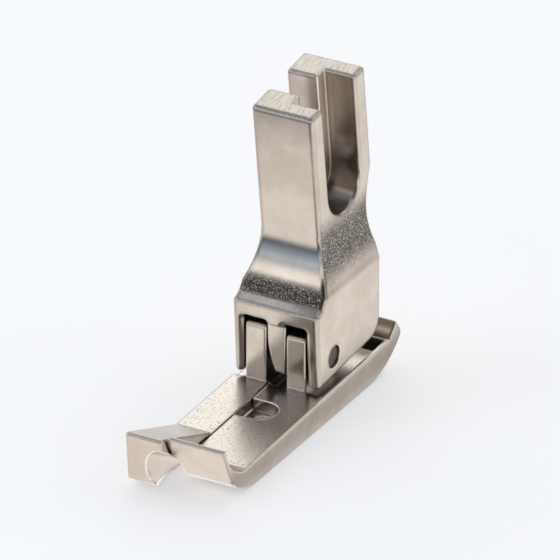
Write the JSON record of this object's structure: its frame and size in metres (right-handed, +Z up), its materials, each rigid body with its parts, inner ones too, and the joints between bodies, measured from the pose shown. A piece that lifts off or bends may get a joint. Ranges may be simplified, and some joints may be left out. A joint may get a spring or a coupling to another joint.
{
  "type": "sewing machine presser foot",
  "caption": "High-shank split-toe cording foot for an industrial sewing machine, with two sprung toes hinged under a forked shank.",
  "frame": {"origin": "on the sole plane, in the middle of the needle hole", "axes": "+X to the right seen from the front, +Y to the back along the feed, +Z up"},
  "size_m": [0.0125, 0.0431, 0.0395],
  "materials": {
    "shank_nickel": "satin",
    "toe_nickel": "satin",
    "pin_steel": "satin",
    "spring_steel": "satin"
  },
  "bodies": {
    "shank": {"shank": "shank_nickel", "hinge_pin": "pin_steel", "left_spring": "spring_steel", "right_spring": "spring_steel"},
    "left_toe": {"left_toe": "toe_nickel"},
    "right_toe": {"right_toe": "toe_nickel"}
  },
  "joints": [
    {"name": "left_toe_hinge", "type": "hinge", "parent": "shank", "child": "left_toe", "pos_m": [-0.0011, 0.0093, 0.00685], "axis": [1, 0, 0], "range_deg": [0, 12], "stiffness_Nm_per_rad": 0.01, "springref_deg": -20.05, "deforming": ["left_spring"]},
    {"name": "right_toe_hinge", "type": "hinge", "parent": "shank", "child": "right_toe", "pos_m": [-0.0011, 0.0093, 0.00685], "axis": [1, 0, 0], "range_deg": [0, 12], "stiffness_Nm_per_rad": 0.01, "springref_deg": -20.05, "deforming": ["right_spring"]}
  ]
}
